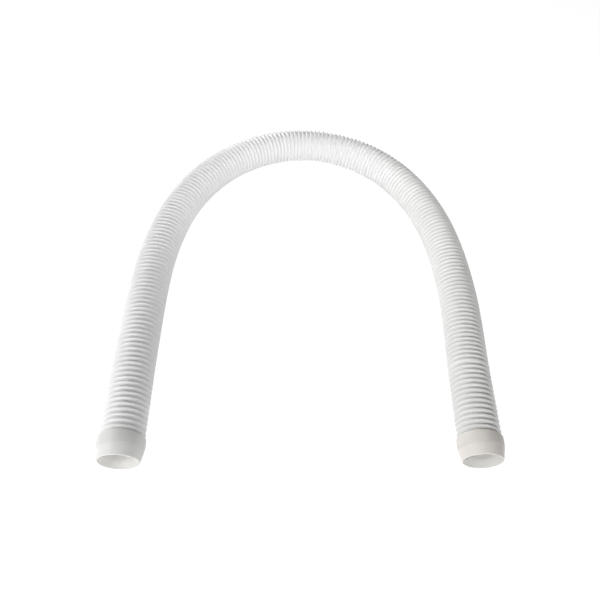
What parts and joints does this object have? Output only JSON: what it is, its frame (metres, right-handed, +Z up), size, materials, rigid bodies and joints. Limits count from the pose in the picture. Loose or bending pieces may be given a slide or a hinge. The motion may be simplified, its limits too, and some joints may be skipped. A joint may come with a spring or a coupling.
{
  "type": "vacuum hose",
  "caption": "Ribbed suction hose bent in a U, with a short swivel cuff and a smooth mouth on each end, for a pool or spa vacuum.",
  "frame": {"origin": "on the ground under the middle of the object's box", "axes": "+Z up, +Y from the two mouths towards the bend, +X from the left leg to the right leg"},
  "size_m": [0.4444, 0.5342, 0.0496],
  "materials": {
    "hose_plastic": "satin",
    "collar_plastic": "satin",
    "cuff_plastic": "satin",
    "sleeve_plastic": "smooth",
    "seal_rubber": "matte"
  },
  "bodies": {
    "root": {"ribbed_hose": "hose_plastic", "left_swivel_sleeve": "sleeve_plastic", "right_swivel_sleeve": "sleeve_plastic"},
    "left_swivel": {"left_retaining_collar": "collar_plastic", "left_cuff": "cuff_plastic", "left_seal_ring": "seal_rubber"},
    "right_swivel": {"right_retaining_collar": "collar_plastic", "right_cuff": "cuff_plastic", "right_seal_ring": "seal_rubber"}
  },
  "joints": [
    {"name": "left_cuff_swivel", "type": "hinge", "parent": "root", "child": "left_swivel", "pos_m": [-0.1976, -0.2355, 0.0248], "axis": [-0.0065, -1, 0], "continuous": true},
    {"name": "right_cuff_swivel", "type": "hinge", "parent": "root", "child": "right_swivel", "pos_m": [0.1835, -0.238, 0.0248], "axis": [-0.0687, -0.9976, 0], "continuous": true}
  ]
}
